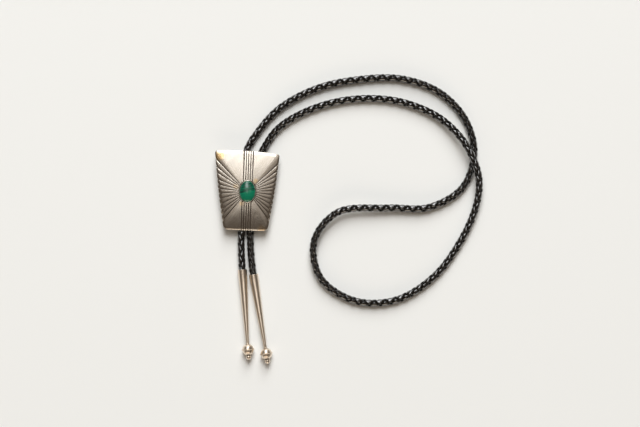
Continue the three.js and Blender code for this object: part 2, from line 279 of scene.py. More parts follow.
@dataclass(frozen=True)
class SilverFinish:
    """Worn silver: bright where it is rubbed, dark where it is cut in, with warm stains."""

    name: str
    tone: Colour = (0.66, 0.62, 0.565)
    oxide: Colour = (0.10, 0.078, 0.06)
    stain: Colour = (0.86, 0.62, 0.33)
    stain_all_over: float = 0.16
    roughness: float = 0.25
    oxide_roughness: float = 0.3
    cloudiness: float = 0.03
    graininess: float = 0.02
    scratch_depth: float = 0.0003 * MM
    scratch_grain: Tuple[float, float, float] = (9000.0, 700.0, 3000.0)
    scratch_turn: float = 28.0
    crossing_grain: Tuple[float, float, float] = (8000.0, 500.0, 3000.0)
    crossing_turn: float = -51.0
    turn: float = 0.0
    turned_grain: Tuple[float, float, float] = (300.0, 5200.0, 300.0)
    turned_depth: float = 0.0
    stains: Tuple[Tuple[float, float, float, float], ...] = ()

    def material(self) -> bpy.types.Material:
        """Builds the material. It reads the mesh's recess value, 1 at the bottom of a cut.

        Returns:
            The material.
        """
        paint = Paint(self.name)
        recess = paint.attribute("recess")
        cloud = paint.noise(160.0, 4.0)
        dark = (recess * (0.75 + 0.5 * cloud)).fade(0.25, 0.95)
        colour = paint.mix(cloud * self.stain_all_over, self.tone, self.stain)
        for x, y, radius, strength in self.stains:
            patch = paint.spot((x, y), radius) * strength * (0.4 + 1.1 * paint.noise(420.0, 3.0))
            colour = paint.mix(patch.fade(0.0, 1.0), colour, self.stain)
        colour = paint.mix(dark, colour, self.oxide)
        scratches = paint.noise(1.0, 3.0, paint.stretched(self.scratch_grain, self.scratch_turn))
        crossing = paint.noise(1.0, 3.0, paint.stretched(self.crossing_grain, self.crossing_turn))
        grain = paint.noise(2600.0, 3.0)
        rough = self.roughness + (cloud - 0.5) * self.cloudiness + dark * self.oxide_roughness
        rough = rough + (grain - 0.5) * self.graininess
        normal = paint.bump(scratches + crossing, self.scratch_depth)
        if self.turned_depth:
            marks = paint.noise(1.0, 2.0, paint.stretched(self.turned_grain, self.turn))
            normal = paint.bump(marks, self.turned_depth, normal)
        return paint.dress(Base_Color=colour, Metallic=1.0, Roughness=rough, Normal=normal)


@dataclass(frozen=True)
class StoneFinish:
    """Polished green stone with a dark field above, a bright one below and fine bands in both."""

    name: str
    dark: Colour = (0.0008, 0.045, 0.027)
    deep: Colour = (0.0015, 0.12, 0.062)
    bright: Colour = (0.001, 0.19, 0.085)
    teal: Colour = (0.001, 0.135, 0.08)
    border: float = 0.6 * MM
    lean: float = 0.16
    warp: float = 4.5 * MM
    ripple: float = 0.004 * MM
    roughness: float = 0.19
    refraction: float = 1.74

    def material(self) -> bpy.types.Material:
        """Builds the material from the place across and along the stone.

        Returns:
            The material.
        """
        paint = Paint(self.name)
        warp = (paint.noise(150.0, 3.0) - 0.5) * self.warp
        height = paint.axis("Y") - paint.axis("X") * self.lean + warp
        bands = paint.noise(1.0, 3.0, paint.stretched((120.0, 1500.0, 400.0), 9.0))
        upper = paint.mix(bands.fade(0.35, 0.65), self.dark, self.deep)
        lower = paint.mix(bands.fade(0.3, 0.7), self.teal, self.bright)
        colour = paint.mix((height - self.border).fade(-0.5 * MM, 0.35 * MM), lower, upper)
        seam = height.fade(-0.6 * MM, 0.4 * MM) * height.fade(2.2 * MM, 0.6 * MM)
        colour = paint.mix(seam * paint.axis("X").fade(3.5 * MM, -3.0 * MM), colour, self.dark)
        normal = paint.bump(paint.noise(900.0, 2.0), self.ripple)
        return paint.dress(
            Base_Color=colour, Metallic=0.0, Roughness=self.roughness, Normal=normal, IOR=self.refraction,
        )


@dataclass(frozen=True)
class LeatherFinish:
    """Glossy black lacing leather. A strand shines along its middle and is browner, paler and duller at its
    edges, where it rubs; the paler edge colour is partly real wear and partly a painted sheen."""

    name: str
    tone: Colour = (0.0035, 0.003, 0.0026)
    # edge colour: browner worn leather, and partly a painted sheen that makes the strand edges paler
    worn: Colour = (0.012, 0.0085, 0.0065)
    roughness: float = 0.2
    patchiness: float = 0.2
    worn_roughness: float = 0.15
    grain_depth: float = 0.02 * MM
    edge_shine: float = 0.2
    shine_roughness: float = 0.1
    shine_refraction: float = 2.25
    plain_gloss: float = 0.08

    def material(self) -> bpy.types.Material:
        """Builds the material. It reads the mesh's edge value, 1 along a strand's edges.

        Returns:
            The material.
        """
        paint = Paint(self.name)
        edge = paint.attribute("edge")
        patches = paint.noise(260.0, 3.0)
        creases = paint.noise(1500.0, 4.0)
        pores = paint.node("ShaderNodeTexVoronoi", inputs={"Vector": paint.place(), "Scale": 2600.0})
        # mask of the edge colour: real wear along the strand edges, and partly a painted sheen there
        wear_and_sheen = (edge * (0.5 + patches)).fade(0.72, 1.25)
        colour = paint.mix(wear_and_sheen * 0.75, self.tone, self.worn)
        rough = self.roughness + (patches - 0.5) * self.patchiness + wear_and_sheen * self.worn_roughness
        shine = edge.fade(0.9, 0.4) * (1 - self.edge_shine) + self.edge_shine
        normal = paint.bump(creases + pores * 0.5, self.grain_depth)
        return paint.dress(
            Base_Color=colour, Metallic=0.0, Roughness=rough, Normal=normal,
            Specular_IOR_Level=self.plain_gloss, Coat_Weight=shine,
            Coat_Roughness=self.shine_roughness, Coat_IOR=self.shine_refraction,
        )


@dataclass(frozen=True)
class FloorFinish:
    """Plain pale paper."""

    name: str
    tone: Colour = (0.80, 0.80, 0.775)

    def material(self) -> bpy.types.Material:
        """Builds the material, matt with a faint unevenness.

        Returns:
            The material.
        """
        paint = Paint(self.name)
        colour = paint.mix(paint.noise(3.0, 1.0) * 0.05, self.tone, (0.7, 0.7, 0.7))
        return paint.dress(Base_Color=colour, Roughness=0.9, Specular_IOR_Level=0.1)


@dataclass
class Body:
    """A mesh in the making: points, faces and one named value for each point."""

    value_name: str = "recess"
    points: List[np.ndarray] = field(default_factory=list)
    values: List[np.ndarray] = field(default_factory=list)
    faces: List[Tuple[int, ...]] = field(default_factory=list)
    count: int = 0

    def _add_points(self, points: np.ndarray, values: np.ndarray) -> int:
        """Takes in points.

        Args:
            points: a flat list of them.
            values: the named value of each.

        Returns:
            The first one's number.
        """
        first = self.count
        self.points.append(points)
        self.values.append(values)
        self.count += len(points)
        return first

    def grid(
        self,
        points: np.ndarray,
        values: Union[float, np.ndarray] = 0.0,
        close_rows: bool = False,
        close_columns: bool = True,
    ) -> np.ndarray:
        """Adds the surface through a grid of points, with a quad between each two rows and columns.

        Args:
            points: rows by columns by three.
            values: the named value of each point, or one for all.
            close_rows: joins the last row to the first.
            close_columns: joins the last column to the first.

        Returns:
            The number of each point, rows by columns.
        """
        rows, columns = points.shape[:2]
        spread = np.broadcast_to(np.asarray(values, float), (rows, columns))
        first = self._add_points(points.reshape(-1, 3), spread.reshape(-1))
        numbers = first + np.arange(rows * columns).reshape(rows, columns)
        here = numbers if close_columns else numbers[:, :-1]
        beside = np.roll(numbers, -1, axis=1) if close_columns else numbers[:, 1:]
        below = np.roll(here, -1, axis=0) if close_rows else here[1:]
        below_beside = np.roll(beside, -1, axis=0) if close_rows else beside[1:]
        last = rows if close_rows else rows - 1
        quads = np.stack([here[:last], below, below_beside, beside[:last]], axis=-1)
        self.faces.extend(map(tuple, quads.reshape(-1, 4).tolist()))
        return numbers

    def cap(self, ring: np.ndarray, centre: np.ndarray, value: float = 0.0, flip: bool = False) -> None:
        """Closes a ring of points with a fan of triangles to a centre point.

        Args:
            ring: the numbers of the ring's points.
            centre: the centre point.
            value: its named value.
            flip: turns the fan's faces over.
        """
        middle = self._add_points(np.asarray(centre, float).reshape(1, 3), np.array([value]))
        after = np.roll(ring, -1)
        pair = (after, ring) if flip else (ring, after)
        fan = np.stack([np.full(len(ring), middle), *pair], axis=-1)
        self.faces.extend(map(tuple, fan.tolist()))

    def build(self, name: str, material: bpy.types.Material) -> bpy.types.Object:
        """Makes the object.

        Args:
            name: the piece's name.
            material: its material.

        Returns:
            The smooth-shaded object, at the origin.
        """
        mesh = bpy.data.meshes.new(name)
        mesh.from_pydata(np.concatenate(self.points).tolist(), [], self.faces)
        carried = mesh.attributes.new(self.value_name, "FLOAT", "POINT")
        carried.data.foreach_set("value", np.concatenate(self.values).astype(np.float32))
        mesh.materials.append(material)
        mesh.shade_smooth()
        mesh.update()
        made = bpy.data.objects.new(name, mesh)
        bpy.context.scene.collection.objects.link(made)
        return made


def install(piece: bpy.types.Object, slot: str, *nodes: str) -> None:
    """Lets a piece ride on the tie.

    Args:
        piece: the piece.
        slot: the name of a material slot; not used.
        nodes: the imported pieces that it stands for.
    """
    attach(piece, BODY)
    if nodes:
        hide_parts(*nodes)
    log.info("%s: %d faces", piece.name, len(piece.data.polygons))


def unit(vectors: np.ndarray) -> np.ndarray:
    """Returns vectors divided by their lengths, along the last axis."""
    return vectors / np.linalg.norm(vectors, axis=-1, keepdims=True)


def oval_point(half_width: float, half_height: float, angle: np.ndarray) -> np.ndarray:
    """Points of an oval seen at some angles from its centre: 1 over the root of the summed squares of
    cosine over half width and sine over half height is how far out each one is.

    Args:
        half_width: half the oval's width.
        half_height: half its height.
        angle: angles from +X.

    Returns:
        One point for each angle.
    """
    reach = 1 / np.hypot(np.cos(angle) / half_width, np.sin(angle) / half_height)
    return np.stack([reach * np.cos(angle), reach * np.sin(angle)], axis=-1)


def arc(centre: float, radius: float, start: float, stop: float, parts: int) -> np.ndarray:
    """Points of a round profile about a turning axis: radius times sine out, radius times cosine along.

    Args:
        centre: the arc's centre along the axis.
        radius: its radius.
        start: angle of the first point from the axis, in radians.
        stop: angle of the last.
        parts: how many steps it has.

    Returns:
        Rows of distance from the axis and place along it.
    """
    angle = np.linspace(start, stop, parts + 1)
    return np.stack([radius * np.sin(angle), centre + radius * np.cos(angle)], axis=-1)


@dataclass(frozen=True)
class TipPlace:
    """Where a tip lies: the middle of its mouth and its turn from straight down the slide."""

    name: str
    mouth_x: float
    mouth_y: float
    turn: float
    ring_mark: float = 0.0
    mouth_height: float = 3.5 * MM
    ball_height: float = 4.6 * MM
    ball_from_mouth: float = 57.6 * MM

    @property
    def mouth(self) -> np.ndarray:
        """The middle of the mouth."""
        return np.array([self.mouth_x, self.mouth_y, self.mouth_height])

    @property
    def way(self) -> np.ndarray:
        """The direction from the mouth to the ball."""
        turn = math.radians(self.turn)
        rise = (self.ball_height - self.mouth_height) / self.ball_from_mouth
        return unit(np.array([math.sin(turn), -math.cos(turn), rise]))

    def along(self, distance: float) -> np.ndarray:
        """Returns the point at a distance down the tip's axis from its mouth."""
        return self.mouth + distance * self.way


LEFT_TIP = TipPlace("tip_left", -1.85 * MM, -56.1 * MM, 6.2, ring_mark=0.07 * MM)
RIGHT_TIP = TipPlace("tip_right", 6.3 * MM, -59.3 * MM, 11.3)


@dataclass
class Tip:
    """A silver tip: long cone with an open socket, ball with a twisted wire round it, end bead."""

    place: TipPlace
    finish: SilverFinish
    mouth_radius: float = 3.35 * MM
    neck_radius: float = 1.05 * MM
    wall: float = 0.4 * MM
    lip: float = 0.3 * MM
    socket_straight: float = 2.4 * MM
    socket_depth: float = 40.0 * MM
    socket_end_radius: float = 0.7 * MM
    ball_radius: float = 4.1 * MM
    wire_radius: float = 0.45 * MM
    wire_ring_radius: float = 4.15 * MM
    wire_twists: int = 30
    wire_twist_depth: float = 0.3
    collar_radius: float = 0.32 * MM
    bead_radius: float = 1.85 * MM
    bead_overlap: float = 0.6 * MM
    mark_from_mouth: float = 8.8 * MM
    mark_width: float = 0.35 * MM
    mark_dark: float = 0.45
    joint_width: float = 0.45 * MM
    wire_dark: float = 0.3
    bead_parts: int = 24
    ball_parts: int = 60
    cone_parts: int = 90
    lip_parts: int = 7
    wire_parts: int = 14
    sides: int = 96

    def _spokes(self, angle: np.ndarray) -> np.ndarray:
        """Directions square to the tip's axis: the cosine of the angle on one and the sine of it on
        another square to both.

        Args:
            angle: angles round the axis.

        Returns:
            One direction for each angle.
        """
        side = unit(np.cross(self.place.way, [0.0, 0.0, 1.0]))
        up = np.cross(side, self.place.way)
        return np.cos(angle)[..., None] * side + np.sin(angle)[..., None] * up

    def _turned(self, profile: np.ndarray) -> np.ndarray:
        """Turns a profile about the tip's axis: out times the spokes and along on the axis.

        Args:
            profile: rows of distance out and place along.

        Returns:
            Rows by sides by three.
        """
        spoke = self._spokes(np.arange(self.sides) * TURN / self.sides)
        out = profile[:, 0, None, None] * spoke[None]
        return self.place.mouth + out + profile[:, 1, None, None] * self.place.way

    def _profile(self) -> Tuple[np.ndarray, np.ndarray]:
        """The outline from the end bead's pole, over the ball and down the cone into the socket.

        Returns:
            The profile and its recess values, dark in the joints and in the socket.
        """
        ball = self.place.ball_from_mouth
        bead = ball + self.ball_radius + self.bead_radius - self.bead_overlap
        gap = bead - ball
        meet = (gap + (self.ball_radius**2 - self.bead_radius**2) / gap) / 2
        waist = math.sqrt(self.ball_radius**2 - meet**2)
        neck = math.pi - math.asin(self.neck_radius / self.ball_radius)
        bead_arc = arc(bead, self.bead_radius, 0.0, math.atan2(waist, meet - gap), self.bead_parts)[1:]
        ball_arc = arc(ball, self.ball_radius, math.atan2(waist, meet), neck, self.ball_parts)[1:]
        top = ball_arc[-1, 1]
        along = np.linspace(top, self.lip, self.cone_parts)[1:]
        slope = (self.mouth_radius - self.neck_radius) / top
        out = self.mouth_radius - slope * along
        mark = np.exp(-(((along - self.mark_from_mouth) / self.mark_width) ** 2))
        cone = np.stack([out - self.place.ring_mark * mark, along], axis=-1)
        inside = self.mouth_radius - self.wall
        turn = np.linspace(0.0, math.pi / 2, self.lip_parts + 1)[1:]
        rim = np.stack([
            self.mouth_radius - self.lip * (1 - np.cos(turn)), self.lip * (1 - np.sin(turn)),
        ], axis=-1)
        lips = np.concatenate([rim, [
            [inside, 0.1 * self.lip],
            [inside, self.socket_straight],
            [self.socket_end_radius, self.socket_depth],
        ]])
        profile = np.concatenate([bead_arc, ball_arc, cone, lips])
        joints = [meet + ball, top]
        recess = sum(np.exp(-(((profile[:, 1] - joint) / self.joint_width) ** 2)) for joint in joints)
        if self.place.ring_mark:
            cone_start = len(bead_arc) + len(ball_arc)
            recess[cone_start:cone_start + len(cone)] += self.mark_dark * mark.max() * mark
        recess[-2:] = 1.0
        return profile, np.clip(recess, 0.0, 1.0)

    def _ring(self, at: float, ring_radius: float, wire: float, twists: int, depth: float) -> np.ndarray:
        """A wire ring round the axis, closed both ways: its own radius swells and shrinks with twice
        the angle round the wire plus twists times the angle round the tip, as two twisted strands do.

        Args:
            at: the ring's place along the axis.
            ring_radius: the radius of its middle line.
            wire: the wire's radius.
            twists: turns of the twist in the ring.
            depth: the share of the wire's radius that the twist takes.

        Returns:
            Rows round the wire by columns round the tip, by three.
        """
        columns = max(self.sides, 12 * twists)
        round_tip = (np.arange(columns) * TURN / columns)[None, :]
        round_wire = (-np.arange(self.wire_parts) * TURN / self.wire_parts)[:, None]
        swell = wire * (1 - depth * np.sin(round_wire + round_tip * twists / 2) ** 2)
        out = (ring_radius + swell * np.cos(round_wire))[..., None] * self._spokes(round_tip)
        return self.place.mouth + out + (at + swell * np.sin(round_wire))[..., None] * self.place.way

    def build(self) -> bpy.types.Object:
        """Builds the tip and hangs it on the tie.

        Returns:
            The tip's object.
        """
        body = Body()
        profile, recess = self._profile()
        numbers = body.grid(self._turned(profile), recess[:, None])
        ball = self.place.ball_from_mouth
        end = ball + self.ball_radius + 2 * self.bead_radius - self.bead_overlap
        body.cap(numbers[0], self.place.along(end))
        body.cap(numbers[-1], self.place.along(self.socket_depth), 1.0, flip=True)
        wire = self._ring(
            ball, self.wire_ring_radius, self.wire_radius, self.wire_twists, self.wire_twist_depth,
        )
        body.grid(wire, self.wire_dark, close_rows=True)
        neck_place = ball - math.sqrt(self.ball_radius**2 - self.neck_radius**2)
        collar = self._ring(neck_place, self.neck_radius, self.collar_radius, 0, 0.0)
        body.grid(collar, close_rows=True)
        piece = body.build(self.place.name + "_turned", self.finish.material())
        install(piece, "tip_silver", self.place.name)
        return piece


@dataclass
class Cord:
    """The braided cord: four flat strands of leather, two wound each way, over one and under one."""

    finish: LeatherFinish
    diameter: float = 5.3 * MM
    braid_diameter: float = 5.2 * MM
    above_surface: float = 0.1 * MM
    channel_x: float = 3.45 * MM
    channel_z: float = 3.95 * MM
    in_socket: float = 5.0 * MM
    out_of_socket: float = 6.0 * MM
    pitch: float = 15.4 * MM
    strand_thickness: float = 1.3 * MM
    strand_half_turn: float = 1.42
    wave_sharpness: float = 2.3
    strand_squareness: float = 0.78
    facet_rise: float = 0.3 * MM
    step: float = 0.62 * MM
    section_points: int = 16

    @property
    def route(self) -> np.ndarray:
        """The points that the cord follows: from the left tip up through the clip,
        round the neck loop, over itself in a low hump and back down to the right tip."""
        lie = self.diameter / 2 + self.above_surface
        cx = self.channel_x
        cz = self.channel_z
        points = [
            LEFT_TIP.along(self.in_socket),
            LEFT_TIP.along(-self.out_of_socket),
            (-0.0035, -0.036, 0.0028),
            (-cx, -0.009, cz),
            (-cx, 0.009, cz),
            (-0.002, 0.029, lie),
            (0.0055, 0.043, lie),
            (0.021, 0.061, lie),
            (0.047, 0.076, lie),
            (0.077, 0.0835, lie),
            (0.108, 0.085, lie),
            (0.1355, 0.076, lie),
            (0.1545, 0.057, lie),
            (0.1615, 0.033, lie),
            (0.154, 0.0085, lie),
            (0.1305, -0.0065, 0.0032),
            (0.101, -0.008, 0.0042),
            (0.065, -0.0125, 0.0062),
            (0.049, -0.0335, 0.0062),
            (0.0545, -0.06, 0.004),
            (0.0795, -0.0755, lie),
            (0.109, -0.074, lie),
            (0.1355, -0.0565, lie),
            (0.1535, -0.031, 0.0029),
            (0.164, -0.005, 0.0048),
            (0.1655, 0.014, 0.0076),
            (0.1605, 0.0295, 0.0087),
            (0.151, 0.0445, 0.0069),
            (0.134, 0.059, 0.0038),
            (0.105, 0.069, 0.0028),
            (0.072, 0.069, lie),
            (0.0415, 0.06, lie),
            (0.02, 0.046, lie),
            (0.009, 0.029, lie),
            (cx + 0.0003, 0.016, 0.0035),
            (cx, 0.008, cz),
            (cx, -0.009, cz),
            (0.003, -0.033, 0.0028),
            RIGHT_TIP.along(-self.out_of_socket),
            RIGHT_TIP.along(self.in_socket),
        ]
        return np.array([tuple(point) for point in points])

    def centreline(self) -> np.ndarray:
        """The smooth line through the route: a cubic between each two points whose end slopes weigh
        the neighbouring points by the root of their distances, walked in even steps.

        Returns:
            Points one step apart.
        """
        points = self.route
        ends = [2 * points[:1] - points[1:2], points, 2 * points[-1:] - points[-2:-1]]
        p = np.concatenate(ends)
        gaps = np.sqrt(np.linalg.norm(np.diff(p, axis=0), axis=1))[:, None]
        before, here, after = gaps[:-2], gaps[1:-1], gaps[2:]
        p0, p1, p2, p3 = p[:-3], p[1:-2], p[2:-1], p[3:]
        start = ((p1 - p0) / before - (p2 - p0) / (before + here) + (p2 - p1) / here) * here
        stop = ((p2 - p1) / here - (p3 - p1) / (here + after) + (p3 - p2) / after) * here
        t = np.linspace(0.0, 1.0, 60, endpoint=False)[None, :, None]
        square = -3 * p1 + 3 * p2 - 2 * start - stop
        cube = 2 * p1 - 2 * p2 + start + stop
        line = p1[:, None] + start[:, None] * t + square[:, None] * t**2 + cube[:, None] * t**3
        line = np.concatenate([line.reshape(-1, 3), points[-1:]])
        walked = np.concatenate([[0.0], np.cumsum(np.linalg.norm(np.diff(line, axis=0), axis=1))])
        even = np.linspace(0.0, walked[-1], int(walked[-1] / self.step) + 1)
        return np.stack([np.interp(even, walked, line[:, k]) for k in range(3)], axis=-1)

    def _strand(self, line: np.ndarray, lay: Lay, phase: float) -> Tuple[np.ndarray, np.ndarray]:
        """One strand. Its middle winds round the cord once a pitch. Points to its side lie further
        along the crossing strands, so that it bends over their edges. Its distance from the cord's
        middle swings between an upper and a lower layer once every half pitch, and its own section is
        a rounded bar. Where it lies on top, it rises away from the crossing with the squared sine of
        the angle, which flattens what is seen of it to a facet.

        Args:
            line: the cord's centreline in even steps.
            lay: which way the strand winds.
            phase: its angle at the start.

        Returns:
            Points, steps by section points by three, and the edge value of each.
        """
        length = self.step * (len(line) - 1)
        shift = self.strand_half_turn * self.pitch / (2 * TURN)
        walked = np.arange(shift, length - shift, self.step)[:, None]
        turn = (np.arange(self.section_points) * TURN / self.section_points)[None, :]
        across = np.sign(np.cos(turn)) * np.abs(np.cos(turn)) ** self.strand_squareness
        through = np.sign(np.sin(turn)) * np.abs(np.sin(turn)) ** self.strand_squareness
        wave = np.tanh(self.wave_sharpness * np.cos(2 * TURN * walked / self.pitch))
        wave = lay.value * wave / math.tanh(self.wave_sharpness)
        layer = self.strand_thickness / 2
        middle = self.braid_diameter / 2 - 2 * layer
        angle = phase + self.strand_half_turn * across / 2 + lay.value * TURN * walked / self.pitch
        off_crossing = (1 - lay.value * np.cos(2 * (angle - phase))) / 2
        radius = middle + layer * wave + layer * through + self.facet_rise * off_crossing * (1 + wave) / 2
        place = walked - lay.value * shift * across
        index = np.clip(place / self.step, 0.0, len(line) - 1.001)
        base = index.astype(int)
        share = (index - base)[..., None]
        tangent = unit(np.gradient(line, axis=0))
        side = unit(np.cross(tangent, [0.0, 0.0, 1.0]))
        up = np.cross(side, tangent)
        at = [array[base] * (1 - share) + array[base + 1] * share for array in (line, side, up)]
        spoke = np.cos(angle)[..., None] * at[1] + np.sin(angle)[..., None] * at[2]
        edge = np.broadcast_to(np.abs(across), radius.shape)
        return at[0] + radius[..., None] * spoke, edge

    def build(self) -> bpy.types.Object:
        """Returns:
            The cord's object.
        """
        line = self.centreline()
        body = Body(value_name="edge")
        for lay in Lay:
            for phase in (TURN / 8, TURN * 5 / 8):
                points, edge = self._strand(line, lay, phase)
                numbers = body.grid(points, edge)
                for ring, flip in ((0, True), (-1, False)):
                    body.cap(numbers[ring], points[ring].mean(axis=0), 0.0, flip)
        piece = body.build("cord_braid", self.finish.material())
        install(piece, "cord_leather", "cord")
        return piece


@dataclass
class Slide:
    """The slide: a domed, fluted and engraved plate of silver sheet with its bezel and stone."""

    silver: SilverFinish
    stone_finish: StoneFinish
    face_z: float = 10.1 * MM
    thickness: float = 1.1 * MM
    top_width: float = 46.8 * MM
    bottom_width: float = 31.7 * MM
    top_y: float = 28.05 * MM
    bottom_y: float = -27.5 * MM
    top_middle_x: float = -1.2 * MM
    bottom_middle_x: float = -0.5 * MM
    top_tilt: float = 0.65 * MM
    top_crown: float = 1.05 * MM
    bottom_crown: float = 0.3 * MM
    side_bulge: float = 0.6 * MM
    corner_radius: float = 2.0 * MM
    lower_corner_radius: float = 3.2 * MM
    dome_drop: float = 2.1 * MM
    straightness_above: float = 0.8
    straightness_below: float = 0.1
    edge_share: float = 0.16
    bend_width: float = 2.4 * MM
    bend_drop_above: float = 0.2 * MM
    bend_drop_below: float = 0.45 * MM
    skirt_drop: float = 1.35 * MM
    groove_angles: Tuple[float, ...] = (
        -50.8, -43.3, -36.0, -26.4, -16.2, -5.7, 3.5, 11.9, 20.6, 29.9, 36.7, 43.9,
    )
    groove_depth: float = 0.05 * MM
    groove_width_at_stone: float = 0.18 * MM
    groove_width_at_edge: float = 0.3 * MM
    crown_at_stone: float = 0.03 * MM
    crown_at_edge: float = 0.08 * MM
    scallop_depth: float = 0.9 * MM
    scallop_fullness: float = 0.5
    scallop_deepening: float = 13.0
    flute_parts: int = 20
    groove_shoulder: float = 2.2
    shoulder_parts: int = 8
    straight_parts: int = 9
    end_parts: int = 25
    lip_parts: int = 6
    lip_bow: float = 0.22 * MM
    lip_dark: float = 0.4
    back_dark: float = 0.45
    valley_depth: float = 0.16 * MM
    valley_reach: float = 5.0 * MM
    groove_dark: float = 0.34 * MM
    line_dark: float = 0.3 * MM
    line_count: int = 5
    line_pitch: float = 1.6 * MM
    line_width: float = 0.6 * MM
    line_depth: float = 0.19 * MM
    line_step: float = 0.1 * MM
    upper_lines_x: float = 0.0
    lower_lines_x: float = -0.45 * MM
    bezel_half_width: float = 6.15 * MM
    bezel_half_height: float = 8.1 * MM
    bezel_wall: float = 0.35 * MM
    bezel_rise: float = 2.0 * MM
    bezel_lap: float = 0.38 * MM
    wall_dark: float = 0.15
    foot_dark: Tuple[float, ...] = (1.0, 0.8, 0.5)
    inside_dark: float = 0.8
    stone_gap: float = 0.12 * MM
    stone_lift: float = 0.3 * MM
    stone_side: float = 1.4 * MM
    stone_dome: float = 2.5 * MM
    waviness: float = 0.006 * MM
    calm_reach: float = 9.0
    calm_fade: float = 6.0
    dents: Tuple[Tuple[float, float, float, float], ...] = (
        (9.6 * MM, -24.6 * MM, 0.9 * MM, 0.10 * MM),
        (8.1 * MM, -24.9 * MM, 0.6 * MM, 0.07 * MM),
        (6.3 * MM, -16.5 * MM, 1.6 * MM, 0.05 * MM),
    )

    def _corner(self, side: Side, end: End) -> np.ndarray:
        """The sharp corner of the outline before it is rounded.

        Args:
            side: which side.
            end: which end.

        Returns:
            The corner.
        """
        if end is End.UPPER:
            x = self.top_middle_x + side.value * self.top_width / 2
            return np.array([x, self.top_y - side.value * self.top_tilt])
        return np.array([self.bottom_middle_x + side.value * self.bottom_width / 2, self.bottom_y])

    def _side_point(self, side: Side, angle: np.ndarray) -> np.ndarray:
        """Points where rays from the stone's centre meet a side edge: the straight edge, pushed out
        along the ray by a parabola that is 0 at both corners.

        Args:
            side: which side edge.
            angle: the rays' angles.

        Returns:
            One point for each ray.
        """
        top = self._corner(side, End.UPPER)
        run = self._corner(side, End.LOWER) - top
        ray = np.stack([np.cos(angle), np.sin(angle)], axis=-1)
        top_off_ray = ray[..., 0] * top[1] - ray[..., 1] * top[0]
        share = -top_off_ray / (ray[..., 0] * run[1] - ray[..., 1] * run[0])
        reach = ((top + share[..., None] * run) * ray).sum(axis=-1)
        return ray * (reach + self.side_bulge * 4 * share * (1 - share))[..., None]

    def _end_point(self, x: np.ndarray, end: End) -> np.ndarray:
        """Points of the top or bottom edge, a parabola crowned outwards. The top one drops to the right.

        Args:
            x: places across the slide.
            end: which end.

        Returns:
            One point for each place.
        """
        if end is End.UPPER:
            across = (x - self.top_middle_x) / (self.top_width / 2)
            y = self.top_y - self.top_tilt * across + self.top_crown * (1 - across**2)
            return np.stack([x, y], axis=-1)
        across = (x - self.bottom_middle_x) / (self.bottom_width / 2)
        return np.stack([x, self.bottom_y - self.bottom_crown * (1 - across**2)], axis=-1)

    def _corner_arc(self, side: Side, end: End, parts: int = 14) -> np.ndarray:
        """Points of a rounded corner, from the side edge to the end edge: spokes of one radius from
        the centre that touches both edges.

        Args:
            side: which side.
            end: which end.
            parts: how many steps the corner has.

        Returns:
            The points in order.
        """
        other = End.LOWER if end is End.UPPER else End.UPPER
        corner = self._corner(side, end)
        along_side = unit(self._corner(side, other) - corner)
        inward = np.array(corner[0] - side.value * MM)
        along_end = unit(self._end_point(inward, end) - corner)
        half = math.acos(float(along_side @ along_end)) / 2
        radius = self.corner_radius if end is End.UPPER else self.lower_corner_radius
        centre = corner + unit(along_side + along_end) * radius / math.sin(half)
        cut = radius / math.tan(half)
        first = corner + cut * along_side - centre
        last = corner + cut * along_end - centre
        share = np.linspace(0.0, 1.0, parts + 1)[:, None]
        return centre + radius * unit(first * (1 - share) + last * share)

    def _fan(self, side: Side) -> np.ndarray:
        """The stations of one fan. Between two grooves a flute rises and falls as a parabola.

        Args:
            side: which side.

        Returns:
            Rows of inner x and y, outer x and y, flute rise, line recess, angle to the nearest
            groove, distance to the nearest line and angle to the fan's nearest border.
        """
        grooves = len(self.groove_angles)
        place = np.linspace(0.0, grooves - 1, self.flute_parts * (grooves - 1) + 1)
        angle = np.radians(np.interp(place, np.arange(grooves), self.groove_angles))
        nearest = np.radians(np.array(self.groove_angles))[np.round(place).astype(int)]
        off_groove = np.abs(angle - nearest)
        flute = 4 * (place % 1) * (1 - place % 1)
        off_border = np.minimum(angle - angle[0], angle[-1] - angle)
        if side is Side.LEFT:
            angle = (math.pi - angle)[::-1]
            flute = flute[::-1]
            off_groove = off_groove[::-1]
            off_border = off_border[::-1]
        inner = oval_point(self.bezel_half_width, self.bezel_half_height, angle)
        outer = self._side_point(side, angle)
        far = np.full(len(angle), FAR)
        return np.column_stack([inner, outer, flute, 0 * far, off_groove, far, off_border])

    def _lines(self, end: End) -> np.ndarray:
        """The stations of the engraved lines at one end. Each line is a V across its width.

        Args:
            end: which end.

        Returns:
            Rows as a fan's, in anticlockwise order.
        """
        middle = self.upper_lines_x if end is End.UPPER else self.lower_lines_x
        half = (self.line_count - 1) / 2 * self.line_pitch + self.line_width / 2
        x = np.arange(-half, half + self.line_step / 2, self.line_step)
        off_line = self.line_pitch * np.abs((x / self.line_pitch + 0.5) % 1 - 0.5)
        recess = np.clip(1 - off_line / (self.line_width / 2), 0.0, 1.0)
        x = x + middle
        rise = self.bezel_half_height * np.sqrt(1 - (x / self.bezel_half_width) ** 2)
        inner = np.stack([x, end.value * rise], axis=-1)
        far = np.full(len(x), FAR)
        full = np.ones(len(x))
        rows = np.column_stack([inner, self._end_point(x, end), full, recess, far, off_line, far])
        return rows[::-1] if end is End.UPPER else rows

